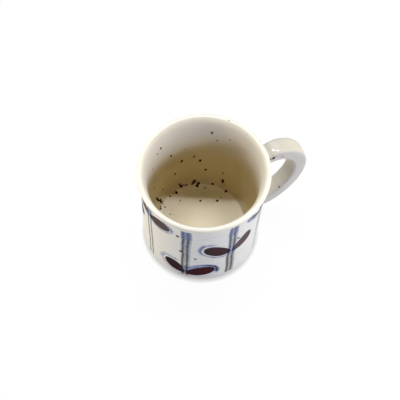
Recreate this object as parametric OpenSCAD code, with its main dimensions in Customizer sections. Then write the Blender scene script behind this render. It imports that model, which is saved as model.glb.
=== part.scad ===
// Pottery mug: a straight stoneware cup with a flared, rounded lip, a low foot ring and a strap handle.
// The cup and its handle are joined with slip and fired together, so the mug is one solid.
// Millimetres. The origin is the middle of the foot, +Z is up and the handle points along +X.

/* [Cup] */
// Height from the table to the top of the lip
cup_h = 84; // [65:0.5:105]
// Outer diameter of the straight wall
wall_d = 79.8; // [65:0.2:100]
// Thickness of the straight wall
wall_t = 4; // [3:0.1:5.5]
// Thickness of the clay between the floor and the underside
floor_t = 6.2; // [3:0.1:9]
// Radius of the hollow corner between the wall and the floor
corner_r = 5.5; // [2:0.1:12]
// Radius of the heel, where the wall turns under
heel_r = 4.5; // [2:0.1:8]

/* [Lip] */
// How far the lip stands out beyond the straight wall
lip_out = 2.1; // [1:0.1:5]
// Thickness of the rounded lip
lip_t = 3.2; // [2:0.1:4.5]
// Angle at which the lip leans out
lip_lean = 26; // [15:1:40]

/* [Foot] */
// How far the foot ring is set in from the heel
foot_set = 1.2; // [0.4:0.1:6]
// Width of the flat that stands on the table
foot_w = 4; // [2:0.1:7]
// Height of the foot ring below the heel
foot_h = 1.2; // [0.6:0.1:3]
// Depth of the hollow inside the foot ring
foot_hollow = 2.2; // [0.5:0.1:4]

/* [Handle] */
// How far the middle of the upper joint lies below the top of the lip
handle_drop = 12; // [10:0.5:22]
// Height of the middle of the lower joint above the table
handle_low = 18.4; // [14:0.1:32]
// Gap between the wall and the loop's furthest inside
handle_gap = 22.4; // [14:0.1:34]
// How far the loop's middle line rises above the upper joint
handle_rise = 7; // [1:0.1:9]
// How far the loop's furthest point lies below the upper joint
handle_belly = 16; // [8:0.5:24]
// Width of the strap
handle_w = 12; // [9:0.1:20]
// Thickness of the strap
handle_t = 9.7; // [5:0.1:12]
// Radius at which the strap spreads into the wall
joint_r = 3.5; // [1:0.5:5]

/* [Hidden] */

glaze_colour = "cornsilk";
turn_fn = 180;
arc_steps = 8;
handle_rings = 44;
handle_sides = 28;
// The strap's section is a superellipse: 2 is an ellipse, and more is squarer. It is rounder at the joints.
section_power = 5;
joint_power = 2.6;
// Share of the wall's thickness that the handle's ends are sunk, so that they fuse with it.
sink_share = 0.4;

wall_r = wall_d / 2;
inner_r = wall_r - wall_t;
floor_z = foot_hollow + floor_t;
bead_r = lip_t / 2;
bead_centre = [wall_r + lip_out - bead_r, cup_h - bead_r];
foot_r = wall_r - heel_r - foot_set - foot_h / 2;

function point_on(centre, r, angle) = centre + r * [cos(angle), sin(angle)];

function arc(centre, r, from, to) =
    [for (i = [0 : arc_steps]) point_on(centre, r, from + (to - from) * i / arc_steps)];

outer_lip_end = point_on(bead_centre, bead_r, -lip_lean);
inner_lip_end = point_on(bead_centre, bead_r, 180 - lip_lean);

// The lip leans out by lip_lean along an arc that leaves the upright wall at radius wall and stops at end.
function flare_r(wall, end) = (end.x - wall) / (1 - cos(lip_lean));
function flare(wall, end) =
    let (r = flare_r(wall, end))
    arc([wall + r, end.y - r * sin(lip_lean)], r, 180, 180 - lip_lean);

function backwards(list) = [for (i = [len(list) - 1 : -1 : 0]) list[i]];

// The cup's half section: from the middle of the underside out round the foot, up, over the lip and down inside.
cup_section = concat(
    [[0, foot_hollow]],
    arc([foot_r - foot_w - foot_hollow, 0], foot_hollow, 90, 0),
    [[foot_r, 0], [foot_r + foot_h / 2, foot_h]],
    arc([wall_r - heel_r, foot_h + heel_r], heel_r, -90, 0),
    flare(wall_r, outer_lip_end),
    arc(bead_centre, bead_r, -lip_lean, 180 - lip_lean),
    backwards(flare(inner_r, inner_lip_end)),
    arc([inner_r - corner_r, floor_z + corner_r], corner_r, 0, -90),
    [[0, floor_z]]
);

module cup() {
    rotate_extrude($fn = turn_fn) polygon(cup_section);
}

handle_end_x = wall_r - wall_t * sink_share;
handle_reach = handle_gap + handle_t / 2;
handle_top_z = cup_h - handle_drop;
handle_turn_z = handle_top_z - handle_belly;

// Two Bezier curves in the plane of X and Z: up and out from the upper joint, over, then down to the lower joint.
loop_turn = [wall_r + handle_reach, handle_turn_z];
upper_curve = [
    [handle_end_x, handle_top_z],
    [wall_r + handle_reach * 0.18, handle_top_z + handle_rise * 2.2],
    [wall_r + handle_reach, handle_top_z + handle_rise * 0.55],
    loop_turn
];
lower_curve = [
    loop_turn,
    [wall_r + handle_reach, handle_turn_z - (handle_turn_z - handle_low) * 0.55],
    [wall_r + handle_reach * 0.43, handle_low + 1],
    [handle_end_x, handle_low]
];

function bezier(p, t) =
    pow(1 - t, 3) * p[0] + 3 * t * pow(1 - t, 2) * p[1] + 3 * t * t * (1 - t) * p[2] + pow(t, 3) * p[3];
function bezier_way(p, t) = unit(
    pow(1 - t, 2) * (p[1] - p[0]) + 2 * t * (1 - t) * (p[2] - p[1]) + t * t * (p[3] - p[2])
);
function unit(v) = v / norm(v);
function mix(a, b, share) = a + (b - a) * share;

// Rings lie closer together near the two joints, where the strap spreads.
function ring_place(i) = 1 - cos(180 * i / handle_rings);
function on_loop(s) = s <= 1 ? bezier(upper_curve, s) : bezier(lower_curve, s - 1);
function way_on_loop(s) = s <= 1 ? bezier_way(upper_curve, s) : bezier_way(lower_curve, s - 1);

// How much wider the strap is at a distance from the wall: a quarter round of joint_r.
function spread(distance) =
    let (d = min(joint_r, max(0, distance)))
    joint_r - sqrt(joint_r * joint_r - (joint_r - d) * (joint_r - d));

// Radius of the cup's outside at a height, with the lip's lean.
function outside_r(z) =
    let (
        r = flare_r(wall_r, outer_lip_end),
        climb = min(max(z - (outer_lip_end.y - r * sin(lip_lean)), 0), r * sin(lip_lean))
    )
    wall_r + r - sqrt(r * r - climb * climb);

function superellipse(angle, power) =
    let (c = cos(angle), s = sin(angle))
    [sign(c) * pow(abs(c), 2 / power), sign(s) * pow(abs(s), 2 / power)];

// One ring of the strap. Away from the wall it lies square to the loop, and near the wall it follows the wall.
function handle_ring(s) =
    let (
        middle = on_loop(s),
        distance = middle.x - wall_r,
        near = max(0, min(1, 1 - distance / (3 * joint_r))),
        way = unit(mix(way_on_loop(s), [s <= 1 ? 1 : -1, 0], near)),
        extra = spread(distance),
        power = mix(section_power, joint_power, near)
    )
    [for (k = [0 : handle_sides - 1])
        let (
            q = superellipse(360 * k / handle_sides, power),
            across = q.y * (handle_w / 2 + extra),
            out = q.x * (handle_t / 2 + extra),
            z = middle.y + way.x * out,
            wrap = sqrt(pow(outside_r(z), 2) - across * across) - wall_r
        )
        [middle.x - way.y * out + wrap * near, across, z]];

module handle() {
    rings = [for (i = [0 : handle_rings]) handle_ring(ring_place(i))];
    points = [for (ring = rings) each ring];
    last = handle_rings * handle_sides;
    sides = [for (i = [0 : handle_rings - 1], k = [0 : handle_sides - 1])
        let (a = i * handle_sides + k, b = i * handle_sides + (k + 1) % handle_sides)
        [a, b, b + handle_sides, a + handle_sides]];
    ends = [
        [for (k = [handle_sides - 1 : -1 : 0]) k],
        [for (k = [0 : handle_sides - 1]) last + k]
    ];
    polyhedron(points, concat(sides, ends));
}

module mug() {
    color(glaze_colour) {
        cup();
        handle();
    }
}

mug();
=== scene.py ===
"""Looks of the pottery mug: one fired piece of stoneware, its glaze, its painted sprays, and a pale studio.

The mug's own sizes are in millimetres, as a potter would measure them, and MM turns them into Blender's
metres. The origin is the middle of the foot, +Z is up and the handle points along +X.
"""

import math
from collections import namedtuple

import bmesh
import bpy
from mathutils import Matrix, Vector


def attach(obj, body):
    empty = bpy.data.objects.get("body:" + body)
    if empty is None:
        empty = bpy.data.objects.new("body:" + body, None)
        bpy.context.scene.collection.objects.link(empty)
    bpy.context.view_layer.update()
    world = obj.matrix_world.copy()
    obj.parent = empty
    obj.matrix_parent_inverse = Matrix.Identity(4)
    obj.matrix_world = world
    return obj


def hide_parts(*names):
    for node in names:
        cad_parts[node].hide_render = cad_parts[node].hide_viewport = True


MM = 0.001

# Cup
CUP_HEIGHT = 84.0
WALL_R = 39.9
WALL_THICK = 4.0
FLOOR_THICK = 6.2
CORNER_R = 5.5
HEEL_R = 4.5

# Lip
LIP_OUT = 2.1
LIP_THICK = 3.2
LIP_LEAN = math.radians(26)

# Foot. Its edges are taken off by a quarter of a millimetre.
FOOT_SET = 1.2
FOOT_WIDE = 4.0
FOOT_HIGH = 1.2
FOOT_HOLLOW = 2.2
FOOT_EDGE = 0.25

# Handle. Its middle line starts and ends inside the clay, SINK_SHARE of the wall's thickness deep.
HANDLE_DROP = 12.0
HANDLE_LOW = 18.4
HANDLE_GAP = 22.4
HANDLE_RISE = 7.0
HANDLE_BELLY = 16.0
HANDLE_WIDE = 12.0
HANDLE_THICK = 9.7
SINK_SHARE = 0.4

# The handle's joints: the radius of the quarter round, how far from the wall the strap takes up the joint's
# form, and how square the section is on the strap and at the joint. At power 2 it would be an ellipse.
JOINT_R = 3.5
JOINT_BLEND = 3 * JOINT_R
SECTION_POWER = 5.0
JOINT_POWER = 2.6

# How finely the mesh is made, and how far the patch of wall under a joint reaches past the quarter round
SPIN_STEPS = 180
WALL_STEP = 1.25
FLOOR_STEP = 3.0
ARC_STEPS = 8
BEAD_STEPS = 14
PATCH_ROWS = 12
PATCH_COLUMNS = 16
PATCH_MARGIN = 0.4
FLARE_RINGS = 8
LOOP_RINGS = 60

# Hand-made unevenness of the thrown and pulled clay
OVAL = 0.22
LIP_WAVE = 0.25
THROWING_RING = 0.02
THROWING_PITCH = 5.2

# The painted ornament. Angles are in degrees round the wall from the handle, heights in millimetres.
# A leaf's lean is how steeply it grows, its bend is how far its middle bows upward, its load is how thick
# the paint lies, and its heart is how red the middle of the stroke fired. A halo of cobalt runs round the
# tip, and mostly above the leaf (side 1) or below it (-1). It has a gap to the leaf, a width, how much
# further out it lies at the tip, and a load of its own.
# A spray's other numbers are how strong the paint is: the stem's two lines, the wash of cobalt between
# them, the fringe outside them, how much of the fringe is left at the stem's foot, and the cap under the
# lip. Its pool is how far above the leaves' root cobalt lies.
Halo = namedtuple("Halo", "side gap width at_tip load")
Leaf = namedtuple("Leaf", "lean length width bend load heart halo")
Spray = namedtuple("Spray", "stem_angle pair_height line wash fringe foot cap pool left right")
SPRAYS = [
    Spray(
        stem_angle=-168.8, pair_height=65, line=0.8, wash=0.1, fringe=0.1, foot=0.5, cap=0.6, pool=3,
        left=Leaf(20, 17, 10.5, 0, 0.9, 0.8, Halo(-1, 0.5, 1.8, 1.3, 0.9)),
        right=Leaf(18, 18.5, 11.2, 0, 0.92, 0.8, Halo(-1, 0.2, 2.4, 1.2, 0.75)),
    ),
    Spray(
        stem_angle=-127.5, pair_height=10.5, line=1.0, wash=1.0, fringe=0.9, foot=0.4, cap=1.0, pool=8,
        left=Leaf(50, 19.5, 12.5, -0.2, 1, 0.2, Halo(-1, 0.9, 3.0, 1.4, 0.6)),
        right=Leaf(31, 22, 13, 0, 1, 0.9, Halo(1, 0, 4.8, 0.7, 1.12)),
    ),
    Spray(
        stem_angle=-84.0, pair_height=40, line=0.95, wash=0.9, fringe=0.8, foot=1.2, cap=0.85, pool=3,
        left=Leaf(39, 22, 12, -1.2, 0.98, 0.5, Halo(-1, 0.8, 2.4, 1.6, 0.8)),
        right=Leaf(45, 20, 11.5, -1.6, 0.9, 0.8, Halo(1, 0, 0.6, 1, 1)),
    ),
    Spray(
        stem_angle=-46.0, pair_height=64, line=0.4, wash=0.4, fringe=0.2, foot=0.5, cap=0.5, pool=3,
        left=Leaf(26, 15, 3.6, 0, 0.8, 0.8, Halo(-1, 0.2, 1.8, 1.6, 0.9)),
        right=Leaf(24, 18, 10.5, 0, 0.95, 0.8, Halo(-1, 0.6, 1.8, 1.3, 0.9)),
    ),
    Spray(
        stem_angle=34.0, pair_height=42, line=0.95, wash=0.8, fringe=0.5, foot=0.5, cap=0.9, pool=4,
        left=Leaf(34, 19, 11, 0.5, 0.95, 0.6, Halo(1, 0.2, 2.2, 1.3, 0.9)),
        right=Leaf(38, 20, 12, 0, 1, 1, Halo(-1, 0.8, 1.8, 1.3, 0.8)),
    ),
    Spray(
        stem_angle=74.0, pair_height=63, line=0.9, wash=0.7, fringe=0.6, foot=0.9, cap=0.8, pool=3,
        left=Leaf(18, 18, 11, 0, 0.9, 0.8, Halo(-1, 0.7, 1.8, 1.3, 0.8)),
        right=Leaf(22, 17, 10.5, -0.8, 1, 0.7, Halo(1, 0.3, 2.4, 1.2, 0.9)),
    ),
    Spray(
        stem_angle=114.0, pair_height=12, line=1.0, wash=0.9, fringe=0.7, foot=0.4, cap=1.0, pool=6,
        left=Leaf(44, 21, 11.5, 0, 1, 0.4, Halo(-1, 0.5, 2.4, 1.4, 0.7)),
        right=Leaf(30, 22, 12.5, 0, 1, 1, Halo(1, 0, 3.8, 0.8, 1)),
    ),
    Spray(
        stem_angle=154.0, pair_height=43, line=0.9, wash=0.8, fringe=0.3, foot=0.6, cap=0.8, pool=3,
        left=Leaf(28, 20, 12, -1, 0.95, 0.9, Halo(-1, 0.9, 1.8, 1.4, 0.8)),
        right=Leaf(38, 19, 11, -1.2, 0.9, 0.6, Halo(1, 0.2, 1.4, 1, 1)),
    ),
]

# A leaf starts this far from its stem's middle. It is broader towards its tip by this share, and the powers
# say how full its sides and its two ends are. Its red heart lies this far inside its outline.
LEAF_START = 0.8
LEAF_SWELL = 0.2
LEAF_SIDE_POWER = 1.7
LEAF_END_POWER = 2.2
HEART_INSET = 1.4

# Where an outline's edge starts to fade and where it ends, as shares of the outline. Then how strong a halo
# is on the leaf's other side and round its tip.
STROKE_EDGE = (0.86, 1.04)
HEART_EDGE = (0.3, 1.0)
HALO_INNER_EDGE = (0.86, 1.1)
HALO_OUTER_EDGE = (0.72, 1.04)
OTHER_SIDE_LOAD = 0.12
TIP_LOAD = 1.25

# The stem runs from its foot to its top, and the cap covers it from its own foot up.
STEM_HALF_GAP = 1.6
STEM_TOP = 76.0
STEM_FOOT = 8.0
CAP_FOOT = 65.0

# How far each of the stem's paints reaches sideways before it fades, and where it has faded out
LINE_REACH = (0.42, 1.06)
BETWEEN_REACH = (1.3, 2.0)
FRINGE_REACH = (2.5, 4.0)
FRINGE_SHIFT = 0.4
POOL_REACH = (1.6, 3.0)
POOL_RISE = (3.0, 6.5)

# The heights between which the cobalt along the stem gets stronger, and how strong it is below and above
FRINGE_GROWS = (14, 56)
FRINGE_TOP = 0.85
BETWEEN_GROWS = (14, 46)
BETWEEN_FOOT = 0.45
BETWEEN_TOP = 0.95

# The heights between which a colour turns into the next, and the halo's load at which its cobalt turns deep
WASH_TURNS_BLUE = (18, 60)
STEM_TURNS_OLIVE = (20, 45)
# Inside, the wall is darker from the top height down: partly the glaze, partly painted shade.
GLAZE_TURNS_PALE = (40, 74)
HALO_TURNS_DEEP = (1.08, 1.35)

# How far the brush wandered off its line, how rough its edge is, and how ragged specks and dabs are
BRUSH_WANDER = 2.4
BRUSH_TOOTH = 0.6
ROUGH_PUSH = 1.5

# The side of the wall where the slip was brushed on thinly
THIN_SLIP_ANGLE = math.radians(-168)

# The ring on the floor where the thrower's finger turned up into the wall. A painted highlight runs pale
# along it, and is faint round the angle where shade falls on the floor.
FLOOR_RING_R = 30.2
FLOOR_RING_CENTRE = (0.6, 1.2, 0.0)
RING_SHADED_ANGLE = math.radians(70)

# The larger iron specks. Each was picked in the photo by eye, and a separate program worked out where it
# lies on the mug. The places are what it gave, rounded to a degree and about half a millimetre, and those on
# the strap were then moved by hand, by up to 3 mm. Each row ends with the speck's radius, which is the
# program's adjusted by hand, and its darkness, judged by eye.
# On the wall a speck starts with its angle from the handle and its height, on the floor and in its hollow
# corner with its angle and its distance from the axis, and on the strap with its distance out, its distance
# across and its height. On the upright inside the specks ran down a little as the glaze melted. Rust bled
# out round every speck by this share.
SPECK_RUN = 1.8
RUST_BLEED = 1.35
INSIDE_SPECKS = [
    (91, 38, 1.0, 1.0), (104, 51.5, 0.9, 0.8), (77, 40.5, 1.0, 0.6), (70, 34.5, 1.0, 1.0),
    (63, 22, 0.9, 0.9), (99, 24, 0.8, 0.8), (43, 23, 0.7, 0.7), (87, 53, 0.6, 0.4),
    (117, 14.5, 0.8, 0.5), (132, 30, 0.8, 0.5), (118, 71, 0.8, 0.8), (124, 69, 0.6, 0.7),
    (134, 59, 0.6, 0.5), (59, 71, 1.0, 0.6), (53, 63, 0.7, 0.4), (39, 69, 0.7, 0.3),
]
FLOOR_SPECKS = [
    (42, 35.7, 1.2, 1.0), (33, 31.5, 1.1, 1.0), (53, 32.5, 1.0, 0.9), (62, 28.5, 0.9, 0.6),
    (69, 18, 0.9, 0.9), (35, 21.5, 1.0, 1.0), (33, 25, 0.6, 0.5), (107, 23, 0.7, 0.5),
    (113, 22, 0.5, 0.3), (131, 23, 0.5, 0.3), (141, 22.5, 0.6, 0.7), (132, 28.5, 0.7, 0.6),
    (137, 30.5, 0.8, 0.8), (134, 31, 0.7, 0.7), (129, 30.5, 0.6, 0.7), (129, 35.5, 1.0, 1.0),
    (129, 34.5, 1.1, 1.0), (127, 33.5, 1.2, 1.0), (128, 32.5, 1.1, 1.0), (114, 30.5, 0.9, 0.7),
    (108, 31, 0.8, 0.4), (104, 30, 1.2, 1.0), (104, 31.5, 0.6, 0.6), (95, 34, 0.8, 0.7),
    (94, 32.5, 1.3, 0.9), (90, 32.5, 0.6, 0.7), (87, 32, 0.9, 0.7), (80, 31.5, 0.8, 0.7),
    (78, 32.5, 1.2, 0.8), (76, 33.5, 1.4, 0.8), (75, 30.5, 0.7, 0.7), (73, 30, 1.1, 1.0),
    (72, 31.5, 0.9, 1.0), (71, 32, 1.1, 1.0),
]
OUTSIDE_SPECKS = [(-135, 66, 1.3, 1.0), (-118, 37.5, 1.0, 0.9), (-77, 55.5, 1.1, 1.0), (-132, 45, 1.3, 0.9)]
STRAP_SPECKS = [
    (43, -5.5, 80, 0.9, 0.5), (45, -6, 80.5, 1.2, 1.0), (51, -6, 79, 1.1, 0.4), (55, -5, 34, 0.8, 0.8),
]

# Camera, from a fit to the photo's outlines
CAMERA_PLACE = Vector((-101.1, -216.9, 503.6)) * MM
CAMERA_AIM = Vector((-8.1, -14.2, 75.1)) * MM
CAMERA_ROLL = math.radians(3.2)
CAMERA_LENS = 70.4

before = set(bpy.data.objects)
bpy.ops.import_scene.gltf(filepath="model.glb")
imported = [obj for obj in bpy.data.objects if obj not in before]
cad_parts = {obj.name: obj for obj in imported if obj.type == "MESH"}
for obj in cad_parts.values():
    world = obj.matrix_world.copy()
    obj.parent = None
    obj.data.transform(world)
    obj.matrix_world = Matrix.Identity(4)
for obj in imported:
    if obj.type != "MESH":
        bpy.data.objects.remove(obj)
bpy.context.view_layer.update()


# Shape


def arc(centre, radius, start, end, steps=ARC_STEPS):
    """Points along an arc in the plane of distance from the axis and height."""
    points = []
    for step in range(steps + 1):
        turn = math.radians(start + (end - start) * step / steps)
        points.append(Vector((centre[0] + radius * math.cos(turn), centre[1] + radius * math.sin(turn))))
    return points


BEAD_R = LIP_THICK / 2
BEAD = (WALL_R + LIP_OUT - BEAD_R, CUP_HEIGHT - BEAD_R)
INNER_R = WALL_R - WALL_THICK
FLOOR_Z = FOOT_HOLLOW + FLOOR_THICK
FOOT_R = WALL_R - HEEL_R - FOOT_SET - FOOT_HIGH / 2
OUTER_LIP_END = Vector((BEAD[0] + BEAD_R * math.cos(LIP_LEAN), BEAD[1] - BEAD_R * math.sin(LIP_LEAN)))
INNER_LIP_END = Vector((BEAD[0] - BEAD_R * math.cos(LIP_LEAN), BEAD[1] + BEAD_R * math.sin(LIP_LEAN)))


def leaning_r(wall, end, height):
    """Distance of a wall's surface from the axis: upright, then leaning out along an arc as far as end."""
    radius = (end.x - wall) / (1 - math.cos(LIP_LEAN))
    climb_full = radius * math.sin(LIP_LEAN)
    climb = min(max(height - (end.y - climb_full), 0), climb_full)
    return wall + radius - math.sqrt(radius * radius - climb * climb)


def outside_r(height):
    return leaning_r(WALL_R, OUTER_LIP_END, height)


def inside_r(height):
    return leaning_r(INNER_R, INNER_LIP_END, height)


HANDLE_TOP = CUP_HEIGHT - HANDLE_DROP
PATCH_HALF_HIGH = HANDLE_THICK / 2 + JOINT_R + PATCH_MARGIN
PATCH_HALF_TURN = math.pi * PATCH_COLUMNS / SPIN_STEPS

# A hair more than an even row, so that rounding never adds one
PATCH_STEP = 2 * PATCH_HALF_HIGH / PATCH_ROWS * 1.001


def even_heights(low, high, step):
    """Heights from low to high, both included, no further apart than step."""
    count = math.ceil((high - low) / step)
    return [low + (high - low) * place / count for place in range(count + 1)]


def outer_wall():
    """The outside from the heel to the lip, with the same count of rows across each of the two joints."""
    bands = [
        (FOOT_HIGH + HEEL_R, HANDLE_LOW - PATCH_HALF_HIGH, WALL_STEP),
        (HANDLE_LOW - PATCH_HALF_HIGH, HANDLE_LOW + PATCH_HALF_HIGH, PATCH_STEP),
        (HANDLE_LOW + PATCH_HALF_HIGH, HANDLE_TOP - PATCH_HALF_HIGH, WALL_STEP),
        (HANDLE_TOP - PATCH_HALF_HIGH, HANDLE_TOP + PATCH_HALF_HIGH, PATCH_STEP),
        (HANDLE_TOP + PATCH_HALF_HIGH, OUTER_LIP_END.y, WALL_STEP / 2),
    ]
    heights = []
    for low, high, step in bands:
        heights += even_heights(low, high, step)[1:]
    return [Vector((outside_r(height), height)) for height in heights]


def inner_wall():
    """The inside from the lip down to the hollow corner."""
    heights = even_heights(FLOOR_Z + CORNER_R, INNER_LIP_END.y, WALL_STEP)
    return [Vector((inside_r(height), height)) for height in reversed(heights)][1:]


def level(start, end):
    """Points along a level line, without its start."""
    count = math.ceil(abs(end[0] - start[0]) / FLOOR_STEP)
    return [Vector(start).lerp(Vector(end), place / count) for place in range(1, count + 1)]


def half_section():
    """The cup's half section, from the middle of the underside round the outside to the floor's middle."""
    hollow_end = FOOT_R - FOOT_WIDE - FOOT_HOLLOW
    section = [Vector((0, FOOT_HOLLOW))]
    section += level((0, FOOT_HOLLOW), (hollow_end, FOOT_HOLLOW))
    section += arc((hollow_end, 0), FOOT_HOLLOW, 90, 8)[1:]
    section += [Vector((FOOT_R - FOOT_WIDE + FOOT_EDGE, 0)), Vector((FOOT_R - FOOT_EDGE, 0))]
    section += [Vector((FOOT_R, FOOT_EDGE * 0.8)), Vector((FOOT_R + FOOT_HIGH * 0.4, FOOT_HIGH * 0.8))]
    section += [Vector((FOOT_R + FOOT_HIGH * 0.6, FOOT_HIGH))]
    section += arc((WALL_R - HEEL_R, FOOT_HIGH + HEEL_R), HEEL_R, -90, 0)
    section += outer_wall()
    section += arc(BEAD, BEAD_R, -math.degrees(LIP_LEAN), 180 - math.degrees(LIP_LEAN), BEAD_STEPS)[1:]
    section += inner_wall()
    section += arc((INNER_R - CORNER_R, FLOOR_Z + CORNER_R), CORNER_R, 0, -90)[1:]
    section += level((INNER_R - CORNER_R, FLOOR_Z), (0, FLOOR_Z))
    return section


# The handle's middle line is two Bezier curves that meet where it is furthest out. The shares place the
# points between their ends, and so how full the loop is above and below.
HANDLE_REACH = HANDLE_GAP + HANDLE_THICK / 2
TURN_Z = HANDLE_TOP - HANDLE_BELLY
LOOP_TURN = Vector((WALL_R + HANDLE_REACH, TURN_Z))
UPPER_CURVE = [
    Vector((WALL_R - WALL_THICK * SINK_SHARE, HANDLE_TOP)),
    Vector((WALL_R + HANDLE_REACH * 0.18, HANDLE_TOP + HANDLE_RISE * 2.2)),
    Vector((WALL_R + HANDLE_REACH, HANDLE_TOP + HANDLE_RISE * 0.55)),
    LOOP_TURN,
]
LOWER_CURVE = [
    LOOP_TURN,
    Vector((WALL_R + HANDLE_REACH, TURN_Z - (TURN_Z - HANDLE_LOW) * 0.55)),
    Vector((WALL_R + HANDLE_REACH * 0.43, HANDLE_LOW + 1)),
    Vector((WALL_R - WALL_THICK * SINK_SHARE, HANDLE_LOW)),
]


def on_loop(place):
    """Middle line of the handle: 0 is the upper joint, 1 the furthest point and 2 the lower joint."""
    curve = UPPER_CURVE if place <= 1 else LOWER_CURVE
    share = place if place <= 1 else place - 1
    rest = 1 - share
    middle = curve[0] * rest ** 3
    middle += curve[1] * 3 * share * rest * rest
    middle += curve[2] * 3 * share * share * rest
    middle += curve[3] * share ** 3
    way = (curve[1] - curve[0]) * rest * rest
    way += (curve[2] - curve[1]) * 2 * share * rest
    way += (curve[3] - curve[2]) * share * share
    return middle, way.normalized()


def place_at(distance, start, end):
    """Place on the loop, between start and end, whose middle is at this distance outside the wall."""
    for _ in range(40):
        half = (start + end) / 2
        if on_loop(half)[0].x < WALL_R + distance:
            start = half
        else:
            end = half
    return start


def ring_places():
    """Where the handle's rings lie: close together through each joint's quarter round, then evenly."""
    rounds = [JOINT_R * (1 - math.cos(math.pi / 2 * step / FLARE_RINGS)) for step in range(FLARE_RINGS + 1)]
    top = [place_at(distance, 0, 0.9) for distance in rounds]
    low = [place_at(distance, 2, 1.1) for distance in reversed(rounds)]
    even = [top[-1] + (low[0] - top[-1]) * step / LOOP_RINGS for step in range(1, LOOP_RINGS)]
    return top + even + low


def ring_point(place, turn):
    """A point of the strap's skin, at an angle round its section. The section is rounder near the joints."""
    middle, way = on_loop(place)
    distance = max(0, middle.x - WALL_R)
    near = max(0, min(1, 1 - distance / JOINT_BLEND))
    square_way = Vector((1 if place <= 1 else -1, 0))
    way = way.lerp(square_way, near).normalized()
    rest = max(0, JOINT_R - distance)
    extra = JOINT_R - math.sqrt(JOINT_R * JOINT_R - rest * rest)
    power = SECTION_POWER + (JOINT_POWER - SECTION_POWER) * near
    out = math.copysign(abs(math.cos(turn)) ** (2 / power), math.cos(turn))
    across = math.copysign(abs(math.sin(turn)) ** (2 / power), math.sin(turn))
    y = across * (HANDLE_WIDE / 2 + extra)
    thick = out * (HANDLE_THICK / 2 + extra)
    z = middle.y + way.x * thick
    wrap = math.sqrt(outside_r(z) ** 2 - y * y) - WALL_R
    return Vector((middle.x - way.y * thick + wrap * near, y, z)) * MM


def joint_border(mesh, height):
    """Cuts the patch of wall that a joint covers and returns the edges round the hole."""
    patch = []
    for face in mesh.faces:
        middle = face.calc_center_median() / MM
        turn = math.atan2(middle.y, middle.x)
        outside = math.hypot(middle.x, middle.y) > WALL_R - 0.5
        if outside and abs(turn) < PATCH_HALF_TURN and abs(middle.z - height) < PATCH_HALF_HIGH:
            patch.append(face)
    round_patch = {edge for face in patch for edge in face.edges}
    kept = [edge for edge in round_patch if any(other not in patch for other in edge.link_faces)]
    bmesh.ops.delete(mesh, geom=patch, context="FACES")
    return [edge for edge in kept if edge.is_valid]


def strap_turns(border, height):
    """Where each corner of a hole's border belongs on the strap's section, as an angle round it."""
    turns = {}
    half_wide = WALL_R * math.sin(PATCH_HALF_TURN)
    for edge in border:
        for vert in edge.verts:
            across = vert.co.y / MM / half_wide
            out = (vert.co.z / MM - height) / PATCH_HALF_HIGH
            turns[vert] = math.atan2(across, out)
    return turns


def add_handle(mesh):
    """Draws the handle out of the upper joint, ring by ring, and bridges it to the lower one."""
    ring = joint_border(mesh, HANDLE_TOP)
    low_border = joint_border(mesh, HANDLE_LOW)
    turns = strap_turns(ring, HANDLE_TOP)
    for place in ring_places():
        drawn = bmesh.ops.extrude_edge_only(mesh, edges=ring)["geom"]
        edges = [part for part in drawn if isinstance(part, bmesh.types.BMEdge)]
        ring = [edge for edge in edges if len(edge.link_faces) == 1]
        new_turns = {}
        for vert in [part for part in drawn if isinstance(part, bmesh.types.BMVert)]:
            for edge in vert.link_edges:
                old = edge.other_vert(vert)
                if old in turns:
                    new_turns[vert] = turns[old]
        for vert, turn in new_turns.items():
            vert.co = ring_point(place, turn)
        turns = new_turns
    bmesh.ops.bridge_loops(mesh, edges=ring + low_border)


def uneven(point):
    """Moves a point of the finished form a little, as throwing and pulling leave it."""
    x, y, z = point / MM
    turn = math.atan2(y, x)
    distance = math.hypot(x, y)
    share = min(distance / WALL_R, 1)
    rise = z / CUP_HEIGHT
    # The numbers added to the angles only decide where the unevenness falls.
    grow = OVAL * math.sin(2 * turn + 0.9) * rise + OVAL * 0.5 * math.sin(3 * turn + 2.1 * rise)
    grow += THROWING_RING * math.sin(2 * math.pi * z / THROWING_PITCH + turn) * min(1, max(0, z - 8) / 6)
    grow *= share
    lift = LIP_WAVE * math.sin(2 * turn - 0.7) * rise ** 6
    return Vector((x + grow * math.cos(turn), y + grow * math.sin(turn), z + lift)) * MM


def add_object(name, mesh):
    """A scene object made from the mesh."""
    data = bpy.data.meshes.new(name)
    mesh.to_mesh(data)
    mesh.free()
    made = bpy.data.objects.new(name, data)
    bpy.context.scene.collection.objects.link(made)
    return made


def make_mug():
    mesh = bmesh.new()
    corners = [mesh.verts.new((point.x * MM, 0, point.y * MM)) for point in half_section()]
    for low, high in zip(corners, corners[1:]):
        mesh.edges.new((low, high))
    bmesh.ops.spin(
        mesh,
        geom=mesh.verts[:] + mesh.edges[:],
        cent=(0, 0, 0),
        axis=(0, 0, 1),
        angle=math.tau,
        steps=SPIN_STEPS,
        use_merge=True,
    )
    bmesh.ops.remove_doubles(mesh, verts=mesh.verts, dist=0.01 * MM)
    bmesh.ops.recalc_face_normals(mesh, faces=mesh.faces)
    add_handle(mesh)
    for vert in mesh.verts:
        vert.co = uneven(vert.co)
    bmesh.ops.recalc_face_normals(mesh, faces=mesh.faces)
    for face in mesh.faces:
        face.smooth = True
    return add_object("mug_body", mesh)


# Where the larger specks lie

Speck = namedtuple("Speck", "centre radius load run")

# In the hollow corner, the glaze was steep enough to run from this height up.
STEEP_Z = FLOOR_Z + 2


def round_the_axis(turn, reach, height):
    turn = math.radians(turn)
    return reach * math.cos(turn), reach * math.sin(turn), height


def floor_height(reach):
    """Height of the floor, and of its hollow corner further out, at a distance from the axis."""
    into_corner = max(0, reach - (INNER_R - CORNER_R))
    return FLOOR_Z + CORNER_R - math.sqrt(CORNER_R ** 2 - into_corner ** 2)


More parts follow.
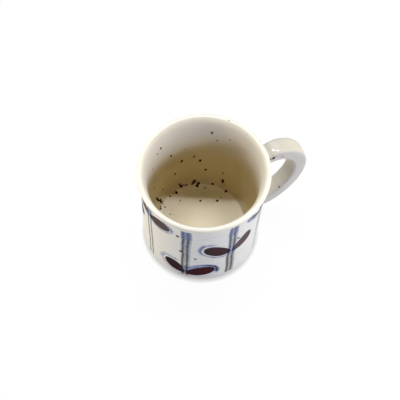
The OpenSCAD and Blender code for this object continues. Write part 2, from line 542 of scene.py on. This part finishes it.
def placed_specks():
    """The larger specks, each with its middle and how far it ran down."""
    specks = []
    for turn, height, radius, load in INSIDE_SPECKS:
        specks.append(Speck(round_the_axis(turn, inside_r(height), height), radius, load, SPECK_RUN))
    for turn, reach, radius, load in FLOOR_SPECKS:
        height = floor_height(reach)
        run = SPECK_RUN if height > STEEP_Z else 1.0
        specks.append(Speck(round_the_axis(turn, reach, height), radius, load, run))
    for turn, height, radius, load in OUTSIDE_SPECKS:
        specks.append(Speck(round_the_axis(turn, outside_r(height), height), radius, load, 1.0))
    for out, across, height, radius, load in STRAP_SPECKS:
        specks.append(Speck((out, across, height), radius, load, 1.0))
    return specks


# Node helpers


class Wires:
    """Adds nodes to one node tree in reading order."""

    def __init__(self, tree):
        self.tree = tree

    def node(self, kind, inputs=None, **settings):
        made = self.tree.nodes.new(kind)
        for name, value in settings.items():
            setattr(made, name, value)
        for name, value in (inputs or {}).items():
            self.feed(made.inputs[name], value)
        return made

    def feed(self, socket, value):
        """Joins a socket to another one, or sets it to a constant."""
        if isinstance(value, bpy.types.NodeSocket):
            self.tree.links.new(value, socket)
        else:
            socket.default_value = value

    def group(self, tree, inputs):
        return self.node("ShaderNodeGroup", inputs, node_tree=tree).outputs

    def math(self, operation, *values):
        return self.node("ShaderNodeMath", dict(enumerate(values)), operation=operation).outputs[0]

    def vector_math(self, operation, *values, result="Vector"):
        made = self.node("ShaderNodeVectorMath", dict(enumerate(values)), operation=operation)
        return made.outputs[result]

    def scaled(self, vector, factor):
        made = self.node("ShaderNodeVectorMath", {0: vector, "Scale": factor}, operation="SCALE")
        return made.outputs["Vector"]

    def levelled(self, place):
        """The same place brought down to height 0."""
        return self.vector_math("MULTIPLY", place, (1, 1, 0))

    def parts(self, vector):
        return self.node("ShaderNodeSeparateXYZ", {"Vector": vector}).outputs

    def largest(self, masks):
        result = masks[0]
        for mask in masks[1:]:
            result = self.math("MAXIMUM", result, mask)
        return result

    def fade(self, value, low, high, to_low=0.0, to_high=1.0):
        """A soft step: to_low at and below low, to_high at and above high."""
        made = self.node(
            "ShaderNodeMapRange",
            {"Value": value, "From Min": low, "From Max": high, "To Min": to_low, "To Max": to_high},
            interpolation_type="SMOOTHSTEP",
        )
        return made.outputs["Result"]

    def fade_out(self, value, low, high):
        """A soft step down: 1 at and below low, 0 at and above high."""
        return self.fade(value, low, high, 1.0, 0.0)

    def mix_colour(self, share, first, second):
        inputs = {"Factor": share, "A": first, "B": second}
        return self.node("ShaderNodeMix", inputs, data_type="RGBA").outputs["Result"]

    def noise(self, vector, scale, detail, roughness=0.55):
        inputs = {"Vector": vector, "Scale": scale, "Detail": detail, "Roughness": roughness}
        return self.node("ShaderNodeTexNoise", inputs).outputs["Fac"]


def empty_tree(owner):
    """Wires for the emptied node tree of a new material or world."""
    owner.use_nodes = True
    owner.node_tree.nodes.clear()
    return Wires(owner.node_tree)


def new_group(name, inputs, outputs):
    """An empty shader node group. Each input has a socket type and a default, and each output a type."""
    tree = bpy.data.node_groups.new(name, "ShaderNodeTree")
    for socket_name, (kind, default) in inputs.items():
        made = tree.interface.new_socket(socket_name, in_out="INPUT", socket_type=kind)
        if default is not None:
            made.default_value = default
    for socket_name, kind in outputs.items():
        tree.interface.new_socket(socket_name, in_out="OUTPUT", socket_type=kind)
    wires = Wires(tree)
    return wires, tree.nodes.new("NodeGroupInput").outputs, tree.nodes.new("NodeGroupOutput").inputs


NUMBER = "NodeSocketFloat"
VECTOR = "NodeSocketVector"


def srgb(red, green, blue):
    """A colour read from 0 to 255 as Blender's linear colour."""
    parts = []
    for value in (red, green, blue):
        value /= 255
        parts.append(value / 12.92 if value <= 0.04045 else ((value + 0.055) / 1.055) ** 2.4)
    return (*parts, 1.0)


# Shared effects


def mug_place_group():
    """Where a point is on the mug: its angle from the handle, its distance from the axis and its height."""
    wires, _, out = new_group(
        "Place on the mug",
        {},
        {"Angle": NUMBER, "Distance": NUMBER, "Height": NUMBER, "Place": VECTOR},
    )
    place = wires.scaled(wires.node("ShaderNodeTexCoord").outputs["Object"], 1 / MM)
    parts = wires.parts(place)
    wires.feed(out["Angle"], wires.math("ARCTAN2", parts["Y"], parts["X"]))
    wires.feed(out["Distance"], wires.vector_math("LENGTH", wires.levelled(place), result="Value"))
    wires.feed(out["Height"], parts["Z"])
    wires.feed(out["Place"], place)
    return wires.tree


def rough_place(wires, place):
    """The same place, pushed about a little, so that specks and dabs of paint come out ragged."""
    push = wires.node("ShaderNodeTexNoise", {"Vector": place, "Scale": 0.8, "Detail": 2.0}).outputs["Color"]
    push = wires.vector_math("SUBTRACT", push, (0.5, 0.5, 0.5))
    return wires.vector_math("ADD", place, wires.scaled(push, ROUGH_PUSH))


LEAF_NAMES = ("Lean", "Length", "Width", "Bend", "Load", "Heart load")
HALO_NAMES = ("Halo side", "Halo gap", "Halo width", "Halo at tip", "Halo load")
LEAF_MARKS = ("Leaf", "Heart", "Halo")
STEM_MARKS = ("Stem line", "Wash", "Cap", "Pool")


def leaf_group():
    """One brushed leaf that grows from a stem: its brown stroke, the stroke's red heart and its halo."""
    wires, given, out = new_group(
        "Brushed leaf",
        {name: (NUMBER, 1) for name in ("Along wall", "Height", "Side") + LEAF_NAMES + HALO_NAMES},
        {name: NUMBER for name in LEAF_MARKS},
    )
    across = wires.math("MULTIPLY", given["Along wall"], given["Side"])
    lean_cos = wires.math("COSINE", given["Lean"])
    lean_sin = wires.math("SINE", given["Lean"])
    along = wires.math("MULTIPLY_ADD", across, lean_cos, wires.math("MULTIPLY", given["Height"], lean_sin))
    aside = wires.math("MULTIPLY", given["Height"], lean_cos)
    aside = wires.math("SUBTRACT", aside, wires.math("MULTIPLY", across, lean_sin))
    middle = wires.math("MULTIPLY_ADD", given["Length"], 0.5, LEAF_START)
    from_middle = wires.math("SUBTRACT", along, middle)
    run_out = wires.math("DIVIDE", from_middle, wires.math("MULTIPLY", given["Length"], 0.5))
    bow = wires.math("SUBTRACT", 1.0, wires.math("MULTIPLY", run_out, run_out))
    aside = wires.math("SUBTRACT", aside, wires.math("MULTIPLY", bow, given["Bend"]))

    def within(grow):
        """Below 1 inside the leaf's outline once it has grown by this many millimetres."""
        half_long = wires.math("MULTIPLY", grow, given["Halo at tip"])
        half_long = wires.math("MULTIPLY_ADD", given["Length"], 0.5, half_long)
        half_wide = wires.math("MULTIPLY_ADD", given["Width"], 0.5, grow)
        run = wires.math("DIVIDE", from_middle, half_long)
        belly = wires.math("MULTIPLY", half_wide, wires.math("MULTIPLY_ADD", run, LEAF_SWELL, 1.0))
        side = wires.math("ABSOLUTE", wires.math("DIVIDE", aside, belly))
        side = wires.math("POWER", side, LEAF_SIDE_POWER)
        end = wires.math("POWER", wires.math("ABSOLUTE", run), LEAF_END_POWER)
        return wires.math("ADD", side, end)

    stroke = wires.fade_out(within(0.0), *STROKE_EDGE)
    wires.feed(out["Leaf"], wires.math("MULTIPLY", stroke, given["Load"]))
    heart = wires.fade_out(within(-HEART_INSET), *HEART_EDGE)
    wires.feed(out["Heart"], wires.math("MULTIPLY", heart, given["Heart load"]))
    outer = within(wires.math("ADD", given["Halo gap"], given["Halo width"]))
    ring = wires.fade(within(given["Halo gap"]), *HALO_INNER_EDGE)
    ring = wires.math("MULTIPLY", ring, wires.fade_out(outer, *HALO_OUTER_EDGE))
    chosen_side = wires.fade(wires.math("MULTIPLY", aside, given["Halo side"]), -3.0, 2.0, OTHER_SIDE_LOAD)
    tip = wires.fade(wires.math("SUBTRACT", along, given["Length"]), -4.5, -1.0, 0.0, TIP_LOAD)
    ring = wires.math("MULTIPLY", ring, wires.math("MAXIMUM", chosen_side, tip))
    wires.feed(out["Halo"], wires.math("MULTIPLY", ring, given["Halo load"]))
    return wires.tree


def stem_paint(wires, given, along, above):
    """The paint along one stem: its two lines, the cobalt between and outside them, its cap and its pool."""
    height = given["Height"]
    on_stem = wires.math(
        "MULTIPLY",
        wires.fade(height, STEM_FOOT - 1.5, STEM_FOOT + 1),
        wires.fade_out(height, STEM_TOP - 1, STEM_TOP + 1),
    )
    from_stem = wires.math("ABSOLUTE", along)
    from_line = wires.math("ABSOLUTE", wires.math("SUBTRACT", from_stem, STEM_HALF_GAP))
    line = wires.math("MULTIPLY", wires.fade_out(from_line, *LINE_REACH), on_stem)
    from_fringe = wires.math("ABSOLUTE", wires.math("SUBTRACT", along, FRINGE_SHIFT))
    broad = wires.math("MULTIPLY", wires.fade_out(from_fringe, *FRINGE_REACH), on_stem)
    fringe = wires.math("MULTIPLY", broad, wires.fade(height, *FRINGE_GROWS, given["Foot load"], FRINGE_TOP))
    fringe = wires.math("MULTIPLY", fringe, given["Fringe load"])
    between = wires.math("MULTIPLY", wires.fade_out(from_stem, *BETWEEN_REACH), on_stem)
    between = wires.math("MULTIPLY", between, wires.fade(height, *BETWEEN_GROWS, BETWEEN_FOOT, BETWEEN_TOP))
    between = wires.math("MULTIPLY", between, given["Wash load"])
    cap = wires.math("MULTIPLY", broad, wires.fade(height, CAP_FOOT - 2, CAP_FOOT + 2))
    from_pool = wires.math("ABSOLUTE", wires.math("SUBTRACT", above, given["Pool height"]))
    pool = wires.fade_out(from_stem, *POOL_REACH)
    return {
        "Stem line": wires.math("MULTIPLY", line, given["Line load"]),
        "Wash": wires.math("MAXIMUM", fringe, between),
        "Cap": wires.math("MULTIPLY", cap, given["Cap load"]),
        "Pool": wires.math("MULTIPLY", pool, wires.fade_out(from_pool, *POOL_RISE)),
    }


def spray_group(leaf):
    """A stem from lip to heel with a pair of leaves, painted at an angle round the wall."""
    names = ["Angle", "Height", "Stem angle", "Pair height", "Pool height"]
    names += ["Line load", "Wash load", "Fringe load", "Foot load", "Cap load"]
    for side in ("Left", "Right"):
        names += [f"{side} {name}" for name in LEAF_NAMES + HALO_NAMES]
    wires, given, out = new_group(
        "Painted spray",
        {name: (NUMBER, 1) for name in names},
        {name: NUMBER for name in LEAF_MARKS + STEM_MARKS},
    )
    turn = wires.math("WRAP", wires.math("SUBTRACT", given["Angle"], given["Stem angle"]), math.pi, -math.pi)
    along = wires.math("MULTIPLY", turn, WALL_R)
    above = wires.math("SUBTRACT", given["Height"], given["Pair height"])
    leaves = []
    for side, way in (("Left", -1.0), ("Right", 1.0)):
        values = {"Along wall": along, "Height": above, "Side": way}
        for name in LEAF_NAMES + HALO_NAMES:
            values[name] = given[f"{side} {name}"]
        leaves.append(wires.group(leaf, values))
    for name in LEAF_MARKS:
        wires.feed(out[name], wires.math("MAXIMUM", leaves[0][name], leaves[1][name]))
    for name, mark in stem_paint(wires, given, along, above).items():
        wires.feed(out[name], mark)
    return wires.tree


def speck_group():
    """Small iron specks scattered through the clay: Share is how many of the possible places carry one."""
    wires, given, out = new_group(
        "Scattered iron specks",
        {"Place": (VECTOR, None), "Spacing": (NUMBER, 6), "Size": (NUMBER, 0.5), "Share": (NUMBER, 0.3)},
        {"Speck": NUMBER},
    )
    scale = wires.math("DIVIDE", 1, given["Spacing"])
    cells = wires.node("ShaderNodeTexVoronoi", {"Vector": given["Place"], "Scale": scale, "Randomness": 1.0})
    chance = wires.node("ShaderNodeSeparateColor", {"Color": cells.outputs["Color"]}).outputs
    size = wires.math("MULTIPLY", given["Size"], wires.math("MULTIPLY_ADD", chance["Green"], 0.8, 0.4))
    reach = wires.math("MULTIPLY", cells.outputs["Distance"], given["Spacing"])
    inside = wires.fade_out(wires.math("DIVIDE", reach, size), 0.7, 1.1)
    chosen = wires.math("LESS_THAN", chance["Red"], given["Share"])
    wires.feed(out["Speck"], wires.math("MULTIPLY", inside, chosen))
    return wires.tree


def large_speck_group():
    """One larger iron speck at a stated place. Flatness below 1 draws it out up and down."""
    wires, given, out = new_group(
        "Large iron speck",
        {
            **{name: (VECTOR, None) for name in ("Place", "Centre")},
            **{name: (NUMBER, 1) for name in ("Radius", "Flatness", "Load")},
        },
        {"Speck": NUMBER},
    )
    squash = wires.node("ShaderNodeCombineXYZ", {"X": 1.0, "Y": 1.0, "Z": given["Flatness"]}).outputs[0]
    away = wires.vector_math("SUBTRACT", given["Place"], given["Centre"])
    away = wires.vector_math("MULTIPLY", away, squash)
    away = wires.vector_math("LENGTH", away, result="Value")
    mark = wires.fade_out(wires.math("DIVIDE", away, given["Radius"]), 0.7, 1.15)
    wires.feed(out["Speck"], wires.math("MULTIPLY", mark, given["Load"]))
    return wires.tree


# The mug's own material

FLOOR_CREAM = srgb(236, 221, 190)
FLOOR_EDGE_CREAM = srgb(249, 237, 211)
# The glaze low on the inside wall, darkened further as painted shade
SHADED_DEEP_CREAM = srgb(209, 191, 148)
PALE_CREAM = srgb(228, 221, 210)
LIP_CREAM = srgb(243, 236, 219)
# A painted highlight along the floor's ring
RING_HIGHLIGHT_CREAM = srgb(255, 242, 222)
SLIP_WHITE = srgb(217, 218, 219)
SLIP_STREAK = srgb(211, 206, 197)
SLIP_THIN = srgb(228, 213, 188)
HANDLE_CREAM = srgb(210, 200, 181)
# Painted shade: the strap's two edges are greyer than its faces
HANDLE_SIDE_SHADE = srgb(190, 187, 183)
LEAF_EDGE = srgb(52, 40, 48)
LEAF_HEART = srgb(70, 32, 36)
COBALT = srgb(96, 110, 152)
COBALT_PALE = srgb(150, 162, 198)
COBALT_DEEP = srgb(62, 72, 108)
WASH_BLUE = srgb(134, 141, 164)
WASH_GREY = srgb(150, 149, 153)
CAP_BLUE = srgb(126, 134, 162)
STEM_OLIVE = srgb(76, 76, 68)
STEM_BROWN = srgb(80, 72, 60)
STEM_BLUE = srgb(97, 102, 126)
IRON = srgb(58, 28, 6)
RUST = srgb(116, 76, 26)
BARE_CLAY = srgb(176, 146, 108)

# How well each paint covers the slip, where the brush ran dry and where it was loaded
WASH_COVER = (0.75, 1.0)
HALO_COVER = (0.68, 0.96)
LINE_COVER = (0.78, 0.9)
CAP_COVER = 0.95
POOL_COVER = 0.85

# How much clear glaze stands over the colour
INSIDE_GLOSS = 0.15
SLIP_GLOSS = 0.1
LIP_GLOSS = 0.5
HANDLE_GLOSS = 0.5


def mug_zones(wires, where):
    """Which part of the mug a point is on. The glaze changes softly from one part to the next."""
    distance, height = where["Distance"], where["Height"]
    wall = wires.fade(distance, WALL_R - 1.2, WALL_R - 0.6)
    return {
        "outside": wires.math("MULTIPLY", wall, wires.fade_out(height, CUP_HEIGHT - 5.2, CUP_HEIGHT - 3.4)),
        "handle": wires.fade(distance, WALL_R + 1.4, WALL_R + 3.0),
        "lip": wires.fade(height, CUP_HEIGHT - 5.0, CUP_HEIGHT - 1.6),
        "glazed": wires.fade(height, FOOT_HIGH + 0.2, FOOT_HIGH + 0.7),
    }


def slip_streaks(wires, where):
    """Long level streaks that the brush left in the slip while the mug turned."""
    round_wall = wires.math("MULTIPLY", where["Angle"], 2.2)
    stretched = wires.node("ShaderNodeCombineXYZ", {"X": round_wall, "Y": 0.0, "Z": where["Height"]})
    return wires.noise(stretched.outputs["Vector"], 0.9, 5, 0.65)


def white_slip(wires, where, streak):
    """White slip, which lets the clay through where it was brushed on thin."""
    slip = wires.mix_colour(wires.fade(streak, 0.42, 0.7), SLIP_WHITE, SLIP_STREAK)
    towards_thin = wires.math("COSINE", wires.math("SUBTRACT", where["Angle"], THIN_SLIP_ANGLE))
    thin = wires.fade(towards_thin, 0.6, 1, 0, 0.35)
    thin = wires.math("MULTIPLY", thin, wires.math("MULTIPLY_ADD", streak, 1.2, 0.1))
    return wires.mix_colour(thin, slip, SLIP_THIN)


def off_line(wires, place, scale, detail, swing):
    """How far the brush is off its line. From one side to the other it swings by this many millimetres."""
    return wires.math("MULTIPLY", wires.math("SUBTRACT", wires.noise(place, scale, detail), 0.5), swing)


def painted_sprays(wires, where):
    """Where each kind of paint lies, from all the sprays together."""
    wander = off_line(wires, where["Place"], 0.05, 1.0, BRUSH_WANDER)
    tooth = off_line(wires, where["Place"], 0.9, 2.0, BRUSH_TOOTH)
    brushed = wires.math("ADD", wander, tooth)
    angle = wires.math("ADD", where["Angle"], wires.math("DIVIDE", brushed, WALL_R))
    height = wires.math("ADD", where["Height"], brushed)
    group = spray_group(leaf_group())
    painted = []
    for spray in SPRAYS:
        values = {
            "Angle": angle,
            "Height": height,
            "Stem angle": math.radians(spray.stem_angle),
            "Pair height": float(spray.pair_height),
            "Pool height": float(spray.pool),
            "Line load": spray.line,
            "Wash load": spray.wash,
            "Fringe load": spray.fringe,
            "Foot load": spray.foot,
            "Cap load": spray.cap,
        }
        for side, leaf in (("Left", spray.left), ("Right", spray.right)):
            numbers = (math.radians(leaf.lean), *leaf[1:-1], *leaf.halo)
            for name, value in zip(LEAF_NAMES + HALO_NAMES, numbers):
                values[f"{side} {name}"] = float(value)
        painted.append(wires.group(group, values))
    return {name: wires.largest([marks[name] for marks in painted]) for name in LEAF_MARKS + STEM_MARKS}


def painted_slip(wires, slip, paint, height, brush):
    """The wall's colour: washes of cobalt first, then the halos, the stems' lines and the leaves."""
    loaded = wires.fade(brush, 0.34, 0.6)

    def covering(mask, dry, full):
        return wires.math("MULTIPLY", mask, wires.math("MULTIPLY_ADD", loaded, full - dry, dry))

    blue = wires.mix_colour(loaded, COBALT_PALE, COBALT)
    washed = wires.mix_colour(wires.fade(height, *WASH_TURNS_BLUE), WASH_GREY, WASH_BLUE)
    colour = wires.mix_colour(covering(paint["Wash"], *WASH_COVER), slip, washed)
    colour = wires.mix_colour(wires.math("MULTIPLY", paint["Cap"], CAP_COVER), colour, CAP_BLUE)
    colour = wires.mix_colour(wires.math("MULTIPLY", paint["Pool"], POOL_COVER), colour, blue)
    halo = wires.math("MINIMUM", covering(paint["Halo"], *HALO_COVER), 1.0)
    deep = wires.mix_colour(wires.fade(paint["Halo"], *HALO_TURNS_DEEP), blue, COBALT_DEEP)
    colour = wires.mix_colour(halo, colour, deep)
    stem = wires.mix_colour(wires.fade(height, *STEM_TURNS_OLIVE), STEM_BROWN, STEM_OLIVE)
    stem = wires.mix_colour(paint["Cap"], stem, STEM_BLUE)
    colour = wires.mix_colour(covering(paint["Stem line"], *LINE_COVER), colour, stem)
    leaf = wires.mix_colour(paint["Heart"], LEAF_EDGE, LEAF_HEART)
    return wires.mix_colour(paint["Leaf"], colour, leaf)


def inside_glaze(wires, where, lip):
    """Cream glaze: darker down the wall, partly the glaze and partly painted shade, paler on the floor, with
    a painted highlight along its ring, and thin over the lip.
    """
    wall = wires.mix_colour(wires.fade(where["Height"], *GLAZE_TURNS_PALE), SHADED_DEEP_CREAM, PALE_CREAM)
    place = wires.levelled(where["Place"])
    from_ring = wires.vector_math("DISTANCE", place, FLOOR_RING_CENTRE, result="Value")
    from_ring = wires.math("SUBTRACT", from_ring, FLOOR_RING_R)
    floor = wires.mix_colour(wires.fade(from_ring, -12, -1), FLOOR_CREAM, FLOOR_EDGE_CREAM)
    inside = wires.mix_colour(wires.fade(from_ring, -0.5, 0.8), floor, wall)
    ring = wires.fade_out(wires.math("ABSOLUTE", wires.math("ADD", from_ring, 1.0)), 0.8, 2.0)
    ring = wires.math("MULTIPLY", ring, wires.fade_out(where["Height"], FLOOR_Z + 1, FLOOR_Z + 2.5))
    # The painted highlight fades round the angle where shade falls on the floor.
    towards_ring_shade = wires.math("COSINE", wires.math("SUBTRACT", where["Angle"], RING_SHADED_ANGLE))
    ring = wires.math("MULTIPLY", ring, wires.fade(towards_ring_shade, 0.5, 0.85, 1.0, 0.1))
    inside = wires.mix_colour(ring, inside, RING_HIGHLIGHT_CREAM)
    return wires.mix_colour(lip, inside, LIP_CREAM)


def strap_glaze(wires, ragged):
    """The handle's glaze: cream along the strap's broad faces, with painted shade that makes its two edges
    greyer.
    """
    aside = wires.math("ABSOLUTE", wires.parts(ragged)["Y"])
    edge = wires.fade(aside, HANDLE_WIDE / 2 - 1.8, HANDLE_WIDE / 2 - 0.2)
    return wires.mix_colour(edge, HANDLE_CREAM, HANDLE_SIDE_SHADE)


def iron_specks(wires, ragged):
    """Where iron shows in the glaze: the fine specks, scattered at random, and the larger ones."""
    fine = {"Place": ragged, "Spacing": 7.0, "Size": 0.4, "Share": 0.3}
    marks = [wires.group(speck_group(), fine)["Speck"]]
    large_speck = large_speck_group()
    for speck in placed_specks():
        values = {
            "Place": ragged,
            "Centre": speck.centre,
            "Radius": speck.radius,
            "Flatness": 1 / speck.run,
            "Load": speck.load,
        }
        marks.append(wires.group(large_speck, values)["Speck"])
    return wires.largest(marks)


def specked(wires, colour, specks):
    """Each speck is dark in its middle and rusty round it, where it bled into the glaze."""
    rusty = wires.math("MINIMUM", wires.math("MULTIPLY", specks, RUST_BLEED), 1.0)
    return wires.mix_colour(rusty, colour, wires.mix_colour(specks, RUST, IRON))


def glaze_gloss(wires, zones, leaves, specks):
    """The clear glaze: thick on the lip and the handle, thin over the slip, and drunk by the iron paint."""
    gloss = wires.math("MULTIPLY_ADD", zones["lip"], LIP_GLOSS - INSIDE_GLOSS, INSIDE_GLOSS)
    gloss = wires.math("MULTIPLY_ADD", zones["outside"], SLIP_GLOSS - INSIDE_GLOSS, gloss)
    gloss = wires.math("MAXIMUM", gloss, wires.math("MULTIPLY", zones["handle"], HANDLE_GLOSS))
    matt_leaf = wires.math("MULTIPLY", leaves, zones["outside"])
    matt = wires.math("MAXIMUM", matt_leaf, wires.math("MULTIPLY", specks, 0.8))
    gloss = wires.math("MULTIPLY", gloss, wires.math("SUBTRACT", 1, matt))
    return wires.math("MULTIPLY", gloss, zones["glazed"])


def stoneware_material():
    """The glaze and the paint of the whole mug, with bare clay under its foot."""
    material = bpy.data.materials.new("Stoneware glaze")
    wires = empty_tree(material)
    where = wires.group(mug_place_group(), {})
    ragged = rough_place(wires, where["Place"])
    zones = mug_zones(wires, where)
    streak = slip_streaks(wires, where)
    brush = wires.noise(ragged, 0.3, 4, 0.6)
    paint = painted_sprays(wires, where)
    specks = iron_specks(wires, ragged)

    outer = painted_slip(wires, white_slip(wires, where, streak), paint, where["Height"], brush)
    colour = wires.mix_colour(zones["outside"], inside_glaze(wires, where, zones["lip"]), outer)
    colour = wires.mix_colour(zones["handle"], colour, strap_glaze(wires, ragged))
    colour = specked(wires, colour, specks)
    colour = wires.mix_colour(zones["glazed"], BARE_CLAY, colour)

    # The glaze lies in soft swells, and the slip's streaks stand up a little under it.
    swell = wires.noise(where["Place"], 0.16, 3, 0.5)
    ridges = wires.math("MULTIPLY", wires.math("MULTIPLY", streak, zones["outside"]), 0.25)
    thickness = wires.math("ADD", swell, ridges)
    bump = wires.node("ShaderNodeBump", {"Height": thickness, "Strength": 0.25, "Distance": 0.6 * MM})

    shader = wires.node(
        "ShaderNodeBsdfPrincipled",
        {
            "Base Color": colour,
            "Roughness": wires.math("MULTIPLY_ADD", brush, 0.1, 0.4),
            "Normal": bump.outputs["Normal"],
            "IOR": 1.5,
            "Specular IOR Level": 0.0,
            "Coat Weight": glaze_gloss(wires, zones, paint["Leaf"], specks),
            "Coat Roughness": 0.08,
            "Coat IOR": 1.5,
        },
    )
    wires.node("ShaderNodeOutputMaterial", {"Surface": shader.outputs["BSDF"]})
    return material


# Studio

WHITE = (1.0, 1.0, 1.0, 1.0)

# What the floor throws back on to the mug
FLOOR_GREY = (0.7, 0.7, 0.7, 1.0)
FLOOR_HALF_WIDE = 4.0

# How much of the seen floor is plain white glow. The rest is lit, and takes the mug's shadow.
FLOOR_GLOW = 0.955

# How far out from the foot the floor's glow is darkened where the mug stands on it, as a painted contact
# shadow, and how much
CONTACT_SHADE = 4.2 * MM
CONTACT_STRENGTH = 0.8

# How much the white room lights the mug
ROOM_LIGHT = 0.02


def seen_directly(wires):
    """1 for what the camera sees, straight, mirrored or through glass, and 0 for all other light."""
    paths = wires.node("ShaderNodeLightPath").outputs
    seen = wires.math("MAXIMUM", paths["Is Camera Ray"], paths["Is Glossy Ray"])
    return wires.math("MAXIMUM", seen, paths["Is Transmission Ray"])


def floor_material():
    """A pale floor that the camera sees as nearly white, except where the mug meets it and in its shadow."""
    material = bpy.data.materials.new("Studio floor")
    wires = empty_tree(material)
    seen = seen_directly(wires)
    tone = wires.mix_colour(seen, FLOOR_GREY, WHITE)
    pale = wires.node("ShaderNodeBsdfDiffuse", {"Color": tone})
    # Painted contact shadow: ambient occlusion darkens the glow close to the mug.
    near = wires.node("ShaderNodeAmbientOcclusion", {"Distance": CONTACT_SHADE}).outputs["Color"]
    near = wires.mix_colour(CONTACT_STRENGTH, WHITE, near)
    glow = wires.node("ShaderNodeEmission", {"Color": near, "Strength": 1.0})
    both = wires.node("ShaderNodeMixShader", {"Fac": wires.math("MULTIPLY", seen, FLOOR_GLOW)})
    wires.feed(both.inputs[1], pale.outputs["BSDF"])
    wires.feed(both.inputs[2], glow.outputs["Emission"])
    wires.node("ShaderNodeOutputMaterial", {"Surface": both.outputs["Shader"]})
    return material


def make_floor():
    mesh = bmesh.new()
    bmesh.ops.create_grid(mesh, x_segments=1, y_segments=1, size=FLOOR_HALF_WIDE)
    floor = add_object("studio_floor", mesh)
    floor.data.materials.append(floor_material())


def set_world():
    """A room that is white to the camera and gives the mug hardly any light."""
    world = bpy.data.worlds.new("Studio room")
    bpy.context.scene.world = world
    wires = empty_tree(world)
    strength = wires.math("MULTIPLY_ADD", seen_directly(wires), 1 - ROOM_LIGHT, ROOM_LIGHT)
    room = wires.node("ShaderNodeBackground", {"Color": WHITE, "Strength": strength})
    wires.node("ShaderNodeOutputWorld", {"Surface": room.outputs["Background"]})


def add_lamp(name, turn, tilt, distance, wide, deep, level, colour):
    """A soft box aimed at the mug. At level 1 a white surface that faces it renders about white.

    Turn is its angle round the mug from the handle and tilt its angle above level, both in degrees. Its
    distance, width and depth are in metres.
    """
    turn, tilt = math.radians(turn), math.radians(tilt)
    aim = Vector((0, 0, CUP_HEIGHT / 2)) * MM
    way = Vector((math.cos(turn) * math.cos(tilt), math.sin(turn) * math.cos(tilt), math.sin(tilt)))
    data = bpy.data.lights.new(name, "AREA")
    data.shape = "RECTANGLE"
    data.size = wide
    data.size_y = deep
    data.energy = level * math.pi ** 2 * distance ** 2
    data.color = colour
    lamp = bpy.data.objects.new(name, data)
    lamp.location = aim + way * distance
    lamp.rotation_euler = (-way).to_track_quat("-Z", "Y").to_euler()
    bpy.context.scene.collection.objects.link(lamp)


def add_lamps():
    """Levels and colours began as a separate program's fit to the photo and were then adjusted by hand."""
    add_lamp("Long lamp overhead", 65, 74.9, 1.0, 0.9, 0.04, 0.82, (0.8, 0.88, 1.0))
    add_lamp("Wide lamp behind", 65, 61, 1.0, 0.6, 0.42, 0.24, (0.98, 1.0, 0.9))
    add_lamp("Soft box in front", -76, 26, 0.8, 0.3, 0.09, 0.26, (0.66, 0.74, 0.95))
    add_lamp("Soft box at the front right", -50, 26, 0.8, 0.38, 0.1, 0.2, (0.62, 0.7, 0.95))
    add_lamp("Card at the right", -42, 14, 0.8, 0.4, 0.25, 0.33, (1.0, 0.82, 0.47))
    add_lamp("Low card at the right", -28, 2, 0.8, 0.5, 0.1, 0.23, (0.9, 0.95, 1.0))
    add_lamp("Card at the left", -195, 14, 0.8, 0.5, 0.25, 0.36, (1.0, 0.97, 0.8))
    add_lamp("High card at the left", -195, 25, 0.8, 0.5, 0.12, 0.12, (1.0, 0.85, 0.68))
    add_lamp("Low card at the left", -188, 2, 0.8, 0.5, 0.1, 0.28, (1.0, 0.95, 0.92))


def add_camera():
    data = bpy.data.cameras.new("Camera")
    data.lens = CAMERA_LENS
    data.sensor_width = 36
    camera = bpy.data.objects.new("Camera", data)
    facing = (CAMERA_AIM - CAMERA_PLACE).to_track_quat("-Z", "Y").to_matrix()
    facing = facing @ Matrix.Rotation(CAMERA_ROLL, 3, "Z")
    camera.matrix_world = Matrix.Translation(CAMERA_PLACE) @ facing.to_4x4()
    bpy.context.scene.collection.objects.link(camera)
    bpy.context.scene.camera = camera


mug = make_mug()
mug.data.materials.append(stoneware_material())
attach(mug, "root")
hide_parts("mug")

make_floor()
set_world()
add_lamps()
add_camera()
bpy.context.scene.view_settings.view_transform = "Standard"
